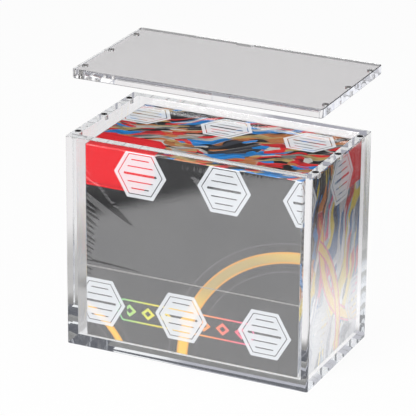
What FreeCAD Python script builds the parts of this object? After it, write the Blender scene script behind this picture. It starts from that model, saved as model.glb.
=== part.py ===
import FreeCAD, Part
import os
import Sketcher

# Clear acrylic display case for a sealed carton of card packs: five bonded sheets, a loose lid plate,
# disc magnets that hold the lid down, and the film-wrapped carton that stands inside.
# +X is the case's right, +Y its back, +Z up. The origin is the middle of the case's underside.

# Driving sizes in millimetres
sizes = {
    # Folded carton, which the case is made to fit
    "box_width": 136.6,
    "box_depth": 74.6,
    "box_height": 120.6,
    "board_thickness": 0.6,
    "fold_radius": 0.8,
    # Tear line of the carton's cover
    "tear_height": 45.0,
    "tear_set_back": 34.0,
    "tear_gap": 0.3,
    # Shrink film round the carton
    "film_thickness": 0.15,
    # Sealed card packs, standing in two columns
    "pack_clearance": 0.15,
    "pack_side_room": 1.7,
    "pack_head_room": 2.4,
    "pack_shoulder": 12.0,
    "crimp_height": 7.0,
    "crimp_thickness": 0.6,
    # Bonded case, and the room that it leaves round the wrapped carton
    "sheet_thickness": 5.6,
    "left_room": 5.2,
    "right_room": 1.7,
    "end_room": 0.55,
    "head_room": 4.1,
    "corner_radius": 1.3,
    "edge_break": 0.3,
    # Lid plate, lifted off and held a little to the right
    "lid_thickness": 5.6,
    "lid_corner_radius": 1.8,
    "lid_edge_break": 0.4,
    "lid_lift": 35.9,
    "lid_shift": 5.0,
    # Finger notch in the lid's back edge, left of its middle
    "notch_width": 10.4,
    "notch_shift": 9.0,
    "notch_depth": 1.6,
    "notch_radius": 0.8,
    # Disc magnets and their blind pockets
    "magnet_diameter": 4.0,
    "magnet_length": 3.0,
    "magnet_edge_break": 0.2,
    "magnet_end_inset": 11.1,
    "pocket_clearance": 0.05,
    # How far a cut runs past what it cuts
    "overrun": 5.0,
}

# Counts and names of what repeats
packs_in_column = 18
sides = {"left": "-1", "right": "1"}
row_places = ("front", "middle", "back")

doc = FreeCAD.newDocument("display_case")
sheet = doc.addObject("Spreadsheet::Sheet", "sheet")
for row, (alias, value) in enumerate(sizes.items(), start=1):
    sheet.set(f"A{row}", alias)
    sheet.set(f"B{row}", str(value))
    sheet.setAlias(f"B{row}", alias)
doc.recompute()

# Sizes and places that several pieces share, as expressions over the sheet
wrapped_width = "(sheet.box_width + 2 * sheet.film_thickness)"
wrapped_depth = "(sheet.box_depth + 2 * sheet.film_thickness)"
wrapped_height = "(sheet.box_height + 2 * sheet.film_thickness)"
inner_width = f"({wrapped_width} + sheet.left_room + sheet.right_room)"
inner_depth = f"({wrapped_depth} + 2 * sheet.end_room)"
case_width = f"({inner_width} + 2 * sheet.sheet_thickness)"
case_depth = f"({inner_depth} + 2 * sheet.sheet_thickness)"
case_height = f"({wrapped_height} + sheet.sheet_thickness + sheet.head_room)"
side_x = f"({inner_width} + sheet.sheet_thickness) / 2"
end_y = f"({inner_depth} + sheet.sheet_thickness) / 2"
lid_z = f"({case_height} + sheet.lid_lift)"
magnet_row = f"({case_depth} - 2 * sheet.magnet_end_inset)"
pocket_diameter = "(sheet.magnet_diameter + 2 * sheet.pocket_clearance)"
carton_x = "(sheet.left_room - sheet.right_room) / 2"
carton_z = "(sheet.sheet_thickness + sheet.film_thickness)"
carton_inner_width = "(sheet.box_width - 2 * sheet.board_thickness)"
carton_inner_depth = "(sheet.box_depth - 2 * sheet.board_thickness)"
cover_seat = "(sheet.box_height - sheet.board_thickness)"
cover_edge = "(sheet.tear_height + sheet.tear_gap)"
pack_pitch = f"({carton_inner_depth} / {packs_in_column})"

nodes = []


# Helpers for bodies and sketches


def value(expression):
    return float(sheet.evalExpression(expression))


def place(piece, x="0", y="0", z="0"):
    for axis, expression in zip("xyz", (x, y, z)):
        piece.setExpression(f"Placement.Base.{axis}", expression)


def new_body(label, node=True):
    body = doc.addObject("PartDesign::Body", label)
    body.Label = label
    if node:
        nodes.append(body)
    return body


def origin_feature(body, role):
    return next(feature for feature in body.Origin.OriginFeatures if feature.Role == role)


def new_sketch(body, name, plane="XY_Plane", height=None):
    sketch = body.newObject("Sketcher::SketchObject", name)
    sketch.AttachmentSupport = [(origin_feature(body, plane), "")]
    sketch.MapMode = "FlatFace"
    if height:
        sketch.setExpression("AttachmentOffset.Base.z", height)
    return sketch


def distance(sketch, kind, first, second, name, expression):
    index = sketch.addConstraint(Sketcher.Constraint(kind, *first, *second, value(expression)))
    sketch.renameConstraint(index, name)
    sketch.setExpression(f"Constraints.{name}", expression)


def outline(sketch, points):
    corners = [FreeCAD.Vector(value(x), value(y)) for x, y in points]
    count = len(corners)
    for i in range(count):
        sketch.addGeometry(Part.LineSegment(corners[i], corners[(i + 1) % count]))
    for i in range(count):
        sketch.addConstraint(Sketcher.Constraint("Coincident", i, 2, (i + 1) % count, 1))


def rectangle(sketch, width, depth):
    half_width = f"{width} / 2"
    half_depth = f"{depth} / 2"
    left, front = f"-{half_width}", f"-{half_depth}"
    outline(sketch, [(left, front), (half_width, front), (half_width, half_depth), (left, half_depth)])
    for i in (0, 2):
        sketch.addConstraint(Sketcher.Constraint("Horizontal", i))
    for i in (1, 3):
        sketch.addConstraint(Sketcher.Constraint("Vertical", i))
    sketch.addConstraint(Sketcher.Constraint("Symmetric", 0, 1, 2, 1, -1, 1))
    distance(sketch, "DistanceX", (0, 1), (0, 2), "width", width)
    distance(sketch, "DistanceY", (1, 1), (1, 2), "depth", depth)


def circle(sketch, x, y, diameter):
    middle = FreeCAD.Vector(value(x), value(y))
    index = sketch.addGeometry(Part.Circle(middle, FreeCAD.Vector(0, 0, 1), value(diameter) / 2))
    name = f"bore_{index}"
    constraint = sketch.addConstraint(Sketcher.Constraint("Diameter", index, value(diameter)))
    sketch.renameConstraint(constraint, name)
    sketch.setExpression(f"Constraints.{name}", diameter)


def pad(body, sketch, length, name="pad"):
    feature = body.newObject("PartDesign::Pad", name)
    feature.Profile = sketch
    feature.setExpression("Length", length)
    doc.recompute()
    return feature


def pocket(body, sketch, length, name="pocket", upward=False, both_ways=False):
    feature = body.newObject("PartDesign::Pocket", name)
    feature.Profile = sketch
    feature.Reversed = upward
    feature.SideType = "Symmetric" if both_ways else "One side"
    feature.setExpression("Length", length)
    doc.recompute()
    if feature.Shape.Volume >= feature.BaseFeature.Shape.Volume:
        raise RuntimeError(f"{body.Label}: {name} cuts nothing")
    return feature


def edges_of(feature, wanted):
    names = [f"Edge{i}" for i, edge in enumerate(feature.Shape.Edges, start=1) if wanted(edge)]
    return (feature, names)


def dress(body, kind, name, edges, size):
    feature = body.newObject(f"PartDesign::{kind}", name)
    feature.Base = edges
    feature.setExpression("Radius" if kind == "Fillet" else "Size", size)
    doc.recompute()
    return feature


def upright(edge):
    return edge.BoundBox.ZLength > max(edge.BoundBox.XLength, edge.BoundBox.YLength)


def level(edge):
    return edge.BoundBox.ZLength < min(value("sheet.edge_break"), value("sheet.lid_edge_break"))


def row_of_pockets(body, original):
    pattern = body.newObject("PartDesign::LinearPattern", "pocket_row")
    pattern.Originals = [original]
    pattern.Direction = (origin_feature(body, "Y_Axis"), [""])
    pattern.setExpression("Length", magnet_row)
    pattern.Occurrences = len(row_places)
    body.Tip = pattern
    doc.recompute()
    return pattern


# Bonded case


def base_plate():
    body = new_body("base_plate")
    sketch = new_sketch(body, "base_outline")
    rectangle(sketch, inner_width, inner_depth)
    pad(body, sketch, "sheet.sheet_thickness")


def end_panel(label, sign):
    body = new_body(label)
    sketch = new_sketch(body, f"{label}_outline")
    rectangle(sketch, inner_width, "sheet.sheet_thickness")
    slab = pad(body, sketch, case_height)

    def outer_rim(edge):
        runs_across = edge.BoundBox.XLength > edge.BoundBox.ZLength
        return level(edge) and runs_across and edge.CenterOfMass.y * int(sign) > 0

    dress(body, "Chamfer", "polished_rim", edges_of(slab, outer_rim), "sheet.edge_break")
    place(body, y=f"{sign} * {end_y}")


def side_panel(side, sign):
    body = new_body(f"{side}_panel")
    sketch = new_sketch(body, f"{side}_outline")
    rectangle(sketch, "sheet.sheet_thickness", case_depth)
    slab = pad(body, sketch, case_height)

    def outer_corner(edge):
        return upright(edge) and edge.CenterOfMass.x * int(sign) > 0

    rounded = dress(body, "Fillet", "outer_corners", edges_of(slab, outer_corner), "sheet.corner_radius")

    def outer_rim(edge):
        reach = max(vertex.X * int(sign) for vertex in edge.Vertexes)
        return level(edge) and reach > 0

    dress(body, "Chamfer", "polished_rim", edges_of(rounded, outer_rim), "sheet.edge_break")
    mouth = new_sketch(body, f"{side}_pocket_outline", height=case_height)
    circle(mouth, "0", f"-{magnet_row} / 2", pocket_diameter)
    mouth.addConstraint(Sketcher.Constraint("PointOnObject", 0, 3, -2))
    distance(mouth, "DistanceY", (0, 3), (-1, 1), "from_middle", f"{magnet_row} / 2")
    row_of_pockets(body, pocket(body, mouth, "sheet.magnet_length", "magnet_pocket"))
    place(body, x=f"{sign} * {side_x}")


# Lid plate


def lid_plate():
    body = new_body("lid_plate")
    sketch = new_sketch(body, "lid_outline")
    rectangle(sketch, case_width, case_depth)
    slab = pad(body, sketch, "sheet.lid_thickness")
    rounded = dress(body, "Fillet", "lid_corners", edges_of(slab, upright), "sheet.lid_corner_radius")

    notch = new_sketch(body, "notch_outline")
    floor_y = f"({case_depth} / 2 - sheet.notch_depth)"
    past_y = f"({case_depth} / 2 + sheet.overrun)"
    left_x = "-(sheet.notch_shift + sheet.notch_width / 2)"
    right_x = "(sheet.notch_width / 2 - sheet.notch_shift)"
    outline(notch, [(left_x, floor_y), (right_x, floor_y), (right_x, past_y), (left_x, past_y)])
    for i in (0, 2):
        notch.addConstraint(Sketcher.Constraint("Horizontal", i))
    for i in (1, 3):
        notch.addConstraint(Sketcher.Constraint("Vertical", i))
    distance(notch, "DistanceX", (0, 1), (0, 2), "width", "sheet.notch_width")
    distance(notch, "DistanceX", (-1, 1), (0, 1), "left_end", left_x)
    distance(notch, "DistanceY", (-1, 1), (0, 1), "floor", floor_y)
    distance(notch, "DistanceY", (1, 1), (1, 2), "reach", "(sheet.notch_depth + sheet.overrun)")
    notched = pocket(body, notch, "(sheet.lid_thickness + sheet.overrun)", "finger_notch", upward=True)

    def notch_corner(edge):
        middle = edge.CenterOfMass
        inside = 0 < middle.y < value(f"{case_depth} / 2 - sheet.notch_depth / 2")
        aside = abs(middle.x + value("sheet.notch_shift"))
        return upright(edge) and inside and aside < value("sheet.notch_width")

    eased = dress(body, "Fillet", "notch_corners", edges_of(notched, notch_corner), "sheet.notch_radius")
    dress(body, "Chamfer", "polished_edges", edges_of(eased, level), "sheet.lid_edge_break")

    mouths = new_sketch(body, "lid_pocket_outlines")
    for x in (f"-{side_x}", side_x):
        circle(mouths, x, f"-{magnet_row} / 2", pocket_diameter)
    mouths.addConstraint(Sketcher.Constraint("Symmetric", 0, 3, 1, 3, -2))
    distance(mouths, "DistanceX", (0, 3), (-1, 1), "from_middle", side_x)
    distance(mouths, "DistanceY", (0, 3), (-1, 1), "from_centre_line", f"{magnet_row} / 2")
    row_of_pockets(body, pocket(body, mouths, "sheet.magnet_length", "magnet_pockets", upward=True))
    place(body, x="sheet.lid_shift", z=lid_z)


# Disc magnets, flush with the rim and with the lid's underside


def magnet(label, x, y, z):
    body = new_body(label)
    sketch = new_sketch(body, f"{label}_outline")
    circle(sketch, "0", "0", "sheet.magnet_diameter")
    sketch.addConstraint(Sketcher.Constraint("Coincident", 0, 3, -1, 1))
    disc = pad(body, sketch, "sheet.magnet_length")
    dress(body, "Chamfer", "disc_edges", edges_of(disc, level), "sheet.magnet_edge_break")
    place(body, x, y, z)


def magnets():
    last = len(row_places) - 1
    for side, sign in sides.items():
        for i, row_place in enumerate(row_places):
            y = f"{magnet_row} * ({i} / {last} - 1 / 2)"
            magnet(f"case_magnet_{side}_{row_place}", f"{sign} * {side_x}", y,
                   f"{case_height} - sheet.magnet_length")
            magnet(f"lid_magnet_{side}_{row_place}", f"sheet.lid_shift + {sign} * {side_x}", y, lid_z)


# Carton: a tray with a low front and slanted cheeks, and the cover torn off it along that line


def tear_outline(body, name, points, flat_lines, plumb_lines):
    sketch = new_sketch(body, name, "YZ_Plane")
    outline(sketch, points)
    for i in flat_lines:
        sketch.addConstraint(Sketcher.Constraint("Horizontal", i))
    for i in plumb_lines:
        sketch.addConstraint(Sketcher.Constraint("Vertical", i))
    return sketch


def booster_tray():
    body = new_body("booster_tray")
    sketch = new_sketch(body, "tray_outline")
    rectangle(sketch, "sheet.box_width", "sheet.box_depth")
    block = pad(body, sketch, cover_seat)

    def fold(edge):
        return upright(edge) or edge.CenterOfMass.z < value("sheet.board_thickness")

    dress(body, "Fillet", "tray_folds", edges_of(block, fold), "sheet.fold_radius")
    inside = new_sketch(body, "tray_inside", height=cover_seat)
    rectangle(inside, carton_inner_width, carton_inner_depth)
    pocket(body, inside, f"({cover_seat} - sheet.board_thickness)", "tray_hollow")

    front_y = "(sheet.box_depth / 2 - sheet.board_thickness)"
    top_y = "(sheet.tear_set_back - sheet.box_depth / 2)"
    far_y = "-(sheet.box_depth / 2 + sheet.overrun)"
    above = f"({cover_seat} + sheet.overrun)"
    points = [(far_y, "sheet.tear_height"), (f"-{front_y}", "sheet.tear_height"),
              (top_y, cover_seat), (top_y, above), (far_y, above)]
    tear = tear_outline(body, "tray_tear", points, (0, 3), (2, 4))
    distance(tear, "DistanceX", (1, 1), (-1, 1), "front", front_y)
    distance(tear, "DistanceY", (-1, 1), (1, 1), "low", "sheet.tear_height")
    distance(tear, "DistanceX", (1, 1), (1, 2), "run", "(sheet.tear_set_back - sheet.board_thickness)")
    distance(tear, "DistanceY", (-1, 1), (1, 2), "high", cover_seat)
    distance(tear, "DistanceY", (2, 1), (2, 2), "above", "sheet.overrun")
    distance(tear, "DistanceX", (0, 1), (0, 2), "ahead", "(sheet.board_thickness + sheet.overrun)")
    pocket(body, tear, "(sheet.box_width + 2 * sheet.overrun)", "tray_tear_cut", both_ways=True)
    place(body, x=carton_x, z=carton_z)


def booster_cover():
    body = new_body("booster_cover")
    sketch = new_sketch(body, "cover_outline", height=cover_edge)
    rectangle(sketch, "sheet.box_width", "sheet.box_depth")
    block = pad(body, sketch, f"(sheet.box_height - {cover_edge})")

    def fold(edge):
        return upright(edge) or edge.CenterOfMass.z > value(cover_seat)

    dress(body, "Fillet", "cover_folds", edges_of(block, fold), "sheet.fold_radius")
    inside = new_sketch(body, "cover_inside", height=cover_edge)
    rectangle(inside, carton_inner_width, carton_inner_depth)
    pocket(body, inside, f"({cover_seat} - {cover_edge})", "cover_hollow", upward=True)

    front_y = "(sheet.box_depth / 2 - sheet.board_thickness)"
    top_y = "(sheet.tear_set_back - sheet.tear_gap - sheet.box_depth / 2)"
    back_y = "(sheet.box_depth / 2 + sheet.overrun)"
    below = f"({cover_edge} - sheet.overrun)"
    points = [(f"-{front_y}", cover_edge), (top_y, cover_seat), (back_y, cover_seat),
              (back_y, below), (f"-{front_y}", below)]
    tear = tear_outline(body, "cover_tear", points, (1, 3), (2, 4))
    distance(tear, "DistanceX", (0, 1), (-1, 1), "front", front_y)
    distance(tear, "DistanceY", (-1, 1), (0, 1), "low", cover_edge)
    run = "(sheet.tear_set_back - sheet.tear_gap - sheet.board_thickness)"
    distance(tear, "DistanceX", (0, 1), (0, 2), "run", run)
    distance(tear, "DistanceY", (-1, 1), (0, 2), "high", cover_seat)
    distance(tear, "DistanceX", (-1, 1), (2, 1), "back", back_y)
    distance(tear, "DistanceY", (4, 1), (4, 2), "below", "sheet.overrun")
    pocket(body, tear, "(sheet.box_width + 2 * sheet.overrun)", "cover_tear_cut", both_ways=True)
    place(body, x=carton_x, z=carton_z)


# Shrink film, drawn tight over the carton's folds


def rounded_block(label, width, depth, height, radius):
    body = new_body(label, node=False)
    sketch = new_sketch(body, f"{label}_outline")
    rectangle(sketch, width, depth)
    block = pad(body, sketch, height)
    dress(body, "Fillet", f"{label}_folds", edges_of(block, lambda edge: True), radius)
    return body


def shrink_film():
    outer_radius = "(sheet.fold_radius + sheet.film_thickness)"
    film = doc.addObject("Part::Cut", "shrink_film")
    film.Label = "shrink_film"
    film.Base = rounded_block("film_outside", wrapped_width, wrapped_depth, wrapped_height, outer_radius)
    film.Tool = rounded_block("film_inside", "sheet.box_width", "sheet.box_depth", "sheet.box_height",
                              "sheet.fold_radius")
    place(film.Tool, z="sheet.film_thickness")
    place(film, x=carton_x, z="sheet.sheet_thickness")
    nodes.append(film)


# Card packs: flow packs with a crimped seal at each end, side by side in two columns


def pack_column(side, sign):
    body = new_body(f"card_packs_{side}")
    body.AllowCompound = True
    half_crimp = "sheet.crimp_thickness / 2"
    half_pack = f"({pack_pitch} - sheet.pack_clearance) / 2"
    height = "(sheet.box_height - 2 * sheet.board_thickness - sheet.pack_head_room)"
    shoulder = "(sheet.crimp_height + sheet.pack_shoulder)"
    right = [(half_crimp, "0"), (half_crimp, "sheet.crimp_height"), (half_pack, shoulder),
             (half_pack, f"{height} - {shoulder}"), (half_crimp, f"{height} - sheet.crimp_height"),
             (half_crimp, height)]
    left = [(f"-{x}", z) for x, z in reversed(right)]
    sketch = new_sketch(body, f"{side}_pack_outline", "YZ_Plane")
    outline(sketch, right + left)
    last = len(right + left) - 1
    for i in range(len(right)):
        sketch.addConstraint(Sketcher.Constraint("Symmetric", i, 1, last - i, 1, -2))
    for i in (0, 2, 4):
        sketch.addConstraint(Sketcher.Constraint("Vertical", i))
    sketch.addConstraint(Sketcher.Constraint("PointOnObject", 0, 1, -1))
    distance(sketch, "DistanceX", (-1, 1), (0, 1), "foot_half", half_crimp)
    distance(sketch, "DistanceX", (-1, 1), (2, 1), "belly_half", half_pack)
    distance(sketch, "DistanceX", (-1, 1), (4, 1), "head_half", half_crimp)
    distance(sketch, "DistanceY", (0, 1), (0, 2), "foot", "sheet.crimp_height")
    distance(sketch, "DistanceY", (1, 1), (1, 2), "lower_shoulder", "sheet.pack_shoulder")
    distance(sketch, "DistanceY", (3, 1), (3, 2), "upper_shoulder", "sheet.pack_shoulder")
    distance(sketch, "DistanceY", (4, 1), (4, 2), "head", "sheet.crimp_height")
    distance(sketch, "DistanceY", (0, 1), (5, 1), "height", height)
    pack = pad(body, sketch, f"({carton_inner_width} / 2 - sheet.pack_side_room)", f"{side}_pack")
    pack.SideType = "Symmetric"
    column = body.newObject("PartDesign::LinearPattern", f"{side}_column")
    column.Originals = [pack]
    column.Direction = (origin_feature(body, "Y_Axis"), [""])
    column.setExpression("Length", f"{pack_pitch} * {packs_in_column - 1}")
    column.Occurrences = packs_in_column
    body.Tip = column
    place(body, f"{carton_x} + {sign} * {carton_inner_width} / 4",
          f"-{pack_pitch} * {packs_in_column - 1} / 2", f"{carton_z} + sheet.board_thickness")


# The whole part

base_plate()
end_panel("front_panel", "-1")
end_panel("back_panel", "1")
for side, sign in sides.items():
    side_panel(side, sign)
lid_plate()
magnets()
booster_tray()
booster_cover()
shrink_film()
for side, sign in sides.items():
    pack_column(side, sign)
doc.recompute()

for thing in doc.Objects:
    if "Invalid" in thing.State or "Error" in thing.State:
        raise RuntimeError(f"{thing.Label} failed: {thing.State}")
for piece in nodes:
    if piece.Shape.isNull() or not piece.Shape.isValid():
        raise RuntimeError(f"{piece.Label} has no valid shape")

os.makedirs("parts", exist_ok=True)
for piece in nodes:
    piece.Shape.exportStep(f"parts/{piece.Label}.step")
    box = piece.Shape.BoundBox
    print(piece.Label, len(piece.Shape.Solids), round(piece.Shape.Volume, 1),
          [round(v, 2) for v in (box.XMin, box.XMax, box.YMin, box.YMax, box.ZMin, box.ZMax)])
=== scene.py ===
import math
import random
import bmesh
import bpy
from mathutils import Matrix, Vector, noise


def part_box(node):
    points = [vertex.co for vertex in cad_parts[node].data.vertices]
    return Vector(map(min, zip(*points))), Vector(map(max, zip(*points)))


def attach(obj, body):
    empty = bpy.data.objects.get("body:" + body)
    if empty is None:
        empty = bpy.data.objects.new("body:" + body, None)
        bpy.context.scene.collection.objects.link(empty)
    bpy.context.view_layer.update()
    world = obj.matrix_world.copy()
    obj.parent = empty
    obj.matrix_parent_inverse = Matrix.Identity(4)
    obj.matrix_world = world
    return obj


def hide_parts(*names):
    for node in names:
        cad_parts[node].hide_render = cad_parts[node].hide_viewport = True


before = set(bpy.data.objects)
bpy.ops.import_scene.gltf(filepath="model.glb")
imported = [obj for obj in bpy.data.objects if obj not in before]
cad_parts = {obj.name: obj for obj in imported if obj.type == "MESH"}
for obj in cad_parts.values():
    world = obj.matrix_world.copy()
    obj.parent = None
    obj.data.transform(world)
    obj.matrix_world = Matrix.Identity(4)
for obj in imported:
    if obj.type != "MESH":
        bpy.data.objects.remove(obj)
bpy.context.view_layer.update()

mm = 0.001
touch = 0.02 * mm    # points closer than this count as one place
squarely = 0.9    # the share of a direction along an axis that counts as facing it
scene = bpy.context.scene
scene.view_settings.view_transform = "Standard"
bounces = {"max_bounces": 40, "min_light_bounces": 24, "glossy_bounces": 32, "transmission_bounces": 32,
           "transparent_max_bounces": 32}
for key, count in bounces.items():    # light runs the length of a sheet by many inner reflections
    setattr(scene.cycles, key, count)


# Modelling helpers: each works on one piece, with nothing else selected
def clearSelection():
    if bpy.context.mode != "OBJECT":
        bpy.ops.object.mode_set(mode="OBJECT")
    bpy.ops.object.select_all(action="DESELECT")


def takeUp(piece):
    clearSelection()
    piece.select_set(True)
    bpy.context.view_layer.objects.active = piece


def settle(piece):    # puts a piece's place into its mesh
    takeUp(piece)
    bpy.ops.object.transform_apply(location=True, rotation=True, scale=True)
    return piece


def addBlock(name, low, high):
    clearSelection()
    bpy.ops.mesh.primitive_cube_add(size=1, location=(Vector(low) + Vector(high)) / 2)
    piece = bpy.context.object
    piece.name = name
    piece.data.name = name
    piece.scale = Vector(high) - Vector(low)
    return settle(piece)


def pick(piece, kind, wanted):    # stays in edit mode with those edges or faces selected
    takeUp(piece)
    bpy.ops.object.mode_set(mode="EDIT")
    bpy.ops.mesh.select_mode(type=kind)
    bpy.ops.mesh.select_all(action="DESELECT")
    mesh = bmesh.from_edit_mesh(piece.data)
    mesh.normal_update()
    for part in (mesh.edges if kind == "EDGE" else mesh.faces):
        if wanted(part):
            part.select_set(True)
    bmesh.update_edit_mesh(piece.data)


def bevelEdges(piece, wanted, width, steps):
    pick(piece, "EDGE", wanted)
    bpy.ops.mesh.bevel(offset=width, offset_type="OFFSET", segments=steps, affect="EDGES")
    bpy.ops.object.mode_set(mode="OBJECT")


def scoreLine(piece, point, normal):    # cuts a line round the piece and keeps both sides
    takeUp(piece)
    bpy.ops.object.mode_set(mode="EDIT")
    bpy.ops.mesh.select_all(action="SELECT")
    bpy.ops.mesh.bisect(plane_co=point, plane_no=normal)
    bpy.ops.object.mode_set(mode="OBJECT")


def applyModifier(piece, kind, **settings):
    takeUp(piece)
    modifier = piece.modifiers.new(kind.title(), kind)
    for key, value in settings.items():
        setattr(modifier, key, value)
    bpy.ops.object.modifier_apply(modifier=modifier.name)


def cutAway(piece, cutter):
    applyModifier(piece, "BOOLEAN", operation="DIFFERENCE", object=cutter, solver="EXACT")
    bpy.data.objects.remove(cutter)


def drill(piece, middle, diameter, low, high):    # a round blind hole along Z
    clearSelection()
    bpy.ops.mesh.primitive_cylinder_add(vertices=32, radius=diameter / 2, depth=high - low,
                                        location=(middle.x, middle.y, (low + high) / 2))
    cutAway(piece, settle(bpy.context.object))


def evenShading(piece):    # smooth rounds between truly flat faces
    takeUp(piece)
    bpy.ops.object.shade_smooth_by_angle(angle=math.radians(40))
    applyModifier(piece, "WEIGHTED_NORMAL", weight=100, keep_sharp=True)


def near(a, b):
    return abs(a - b) < touch


def ends(edge):
    return edge.verts[0].co, edge.verts[1].co


def isUpright(edge):
    a, b = ends(edge)
    return near(a.x, b.x) and near(a.y, b.y)


def isRim(edge, height):    # the line where a level face meets a wall
    a, b = ends(edge)
    level = [abs(face.normal.z) > squarely for face in edge.link_faces]
    return near(a.z, height) and near(b.z, height) and any(level) and not all(level)


# Shader helpers
class Wire:    # a number on a socket, so that sums are written as sums
    def __init__(self, finish, socket):
        self.finish, self.socket = finish, socket

    def work(self, operation, *values):
        return self.finish.node("Math", {"operation": operation}, dict(enumerate(values)))

    def __add__(self, other):
        return self.work("ADD", self, other)

    def __radd__(self, other):
        return self.work("ADD", other, self)

    def __sub__(self, other):
        return self.work("SUBTRACT", self, other)

    def __rsub__(self, other):
        return self.work("SUBTRACT", other, self)

    def __mul__(self, other):
        return self.work("MULTIPLY", self, other)

    def __rmul__(self, other):
        return self.work("MULTIPLY", other, self)

    def __truediv__(self, other):
        return self.work("DIVIDE", self, other)

    def __rtruediv__(self, other):
        return self.work("DIVIDE", other, self)

    def __mod__(self, other):
        return self.work("FLOORED_MODULO", self, other)

    def __pow__(self, other):
        return self.work("POWER", self, other)

    def __abs__(self):
        return self.work("ABSOLUTE", self)


class Finish:    # one material, or the world, and the nodes in it
    def __init__(self, owner):
        self.owner = bpy.data.materials.new(owner) if isinstance(owner, str) else owner
        self.owner.use_nodes = True
        self.tree = self.owner.node_tree
        self.tree.nodes.clear()

    def node(self, kind, settings=None, sockets=None, output=0):
        made = self.tree.nodes.new("ShaderNode" + kind)
        for key, value in (settings or {}).items():
            if key == "stops":
                ramp = made.color_ramp
                while len(ramp.elements) < len(value):
                    ramp.elements.new(1)
                for element, (place, colour) in zip(ramp.elements, value):
                    element.position, element.color = place, (*colour, 1)
            elif key == "blend":
                made.color_ramp.interpolation = value
            else:
                setattr(made, key, value)
        for key, value in (sockets or {}).items():
            socket = made.inputs[key]
            if isinstance(value, Wire):
                self.tree.links.new(value.socket, socket)
            elif socket.type == "RGBA":
                socket.default_value = (*value, 1)
            else:
                socket.default_value = value
        return Wire(self, made.outputs[output]) if made.outputs else None

    def also(self, wire, output):    # another output of the same node
        return Wire(self, wire.socket.node.outputs[output])

    def split(self, vector):
        first = self.node("SeparateXYZ", None, {0: vector})
        return first, self.also(first, 1), self.also(first, 2)

    def place(self):    # Object coordinates in millimetres
        return [axis / mm for axis in self.split(self.node("TexCoord", output="Object"))]

    def facing(self):    # which way the surface faces
        return self.split(self.node("NewGeometry", output="True Normal"))

    def point(self, x, y, z=0.0):
        return self.node("CombineXYZ", None, {0: x, 1: y, 2: z})

    def rise(self, value, low, high):    # 0 at low, 1 at high, eased between
        return self.node("MapRange", {"interpolation_type": "SMOOTHSTEP"},
                         {"Value": value, "From Min": low, "From Max": high})

    def larger(self, a, b):
        return self.node("Math", {"operation": "MAXIMUM"}, {0: a, 1: b})

    def smaller(self, a, b):
        return self.node("Math", {"operation": "MINIMUM"}, {0: a, 1: b})

    def within(self, value, low, high, soft=0.1):
        return self.rise(value, low - soft, low + soft) * self.rise(value, high + soft, high - soft)

    def paint(self, under, over, mask):    # lays one colour over another
        return self.node("Mix", {"data_type": "RGBA"}, {0: mask, 6: under, 7: over}, output=2)

    def grain(self, where, scale, detail=2.0):
        return self.node("TexNoise", None, {"Vector": where, "Scale": scale, "Detail": detail})

    def end(self, surface):
        kind = "OutputMaterial" if isinstance(self.owner, bpy.types.Material) else "OutputWorld"
        self.node(kind, None, {0: surface})
        return self.owner


def dress(piece, *materials):
    piece.data.materials.clear()
    for material in materials:
        piece.data.materials.append(material)


# Camera, at the photograph's viewing angle
shot = {"azimuth": 25.24, "elevation": 21.62, "roll": 0.52, "lens": 226.22, "sensor": 36,
        "distance": 1557.65 * mm, "aimRight": -5.244 * mm, "aimUp": 78.335 * mm,
        "clip": (0.01, 50)}


def setCamera():
    turn, lift, roll = (math.radians(shot[key]) for key in ("azimuth", "elevation", "roll"))
    back = Vector((math.sin(turn) * math.cos(lift), -math.cos(turn) * math.cos(lift), math.sin(lift)))
    levelRight = Vector((math.cos(turn), math.sin(turn), 0))
    levelUp = back.cross(levelRight)
    right = math.cos(roll) * levelRight + math.sin(roll) * levelUp
    up = math.cos(roll) * levelUp - math.sin(roll) * levelRight
    lensBox = bpy.data.cameras.new("camera")
    lensBox.lens, lensBox.sensor_width = shot["lens"], shot["sensor"]
    lensBox.clip_start, lensBox.clip_end = shot["clip"]
    camera = bpy.data.objects.new("camera", lensBox)
    scene.collection.objects.link(camera)
    spot = back * shot["distance"] + right * shot["aimRight"] + up * shot["aimUp"]
    camera.matrix_world = Matrix.Translation(spot) @ Matrix((right, up, back)).transposed().to_4x4()
    scene.camera = camera


setCamera()
print("camera is set")


# Clear acrylic, the cement in its joints, and the edges that aren't polished clear, with painted light on
# the sawn foot and painted shade on the eased edges
acrylic = {"clear": (0.995, 0.994, 0.998), "milky": (0.975, 0.975, 0.985), "index": 1.49,
           "cloudScale": 0.02, "cloudRange": (0.3, 0.5),
           "scuff": 0.002, "scuffScale": 1.7, "scuffRange": (0.62, 0.8)}
cement = {"skin": (0.82, 0.83, 0.86), "clear": (0.98, 0.985, 0.985), "share": 0.03,
          "streakScale": 0.35, "streakRange": (0.4, 0.8)}
# The sawn foot's lit tone is painted light, brightening the left stretch of the back sheet's foot.
sawnCut = {"plain": (0.50, 0.50, 0.56), "dull": (0.44, 0.44, 0.50), "paintedLit": (0.97, 0.97, 0.99),
           "paintedLitRange": (-22.0, -42.0), "markScale": 0.8, "markRange": (0.45, 0.7)}
# The eased edges' plain and dull tints are painted shade that darkens the lid's edges into dark lines;
# their roughness is the edges' own.
easedCutShade = {"plain": (0.30, 0.30, 0.33), "dull": (0.20, 0.20, 0.22), "rough": 0.1,
            "markScale": 1.2, "markRange": (0.4, 0.7)}
# The wavy end's tint is painted shade, a bluish cast on the lid's right end; the swell is a bump in its
# face.
wavyCutBlueShade = {"tint": (0.86, 0.89, 0.99), "rough": 0.0, "swellScale": 0.06, "swellRise": 0.5,
           "swellHeight": 1.0 * mm}


def clearBody(finish, tint, **sockets):    # acrylic that light goes through
    return finish.end(finish.node("BsdfPrincipled", None, {
        "Base Color": tint, "IOR": acrylic["index"], "Transmission Weight": 1.0, **sockets}))


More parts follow.
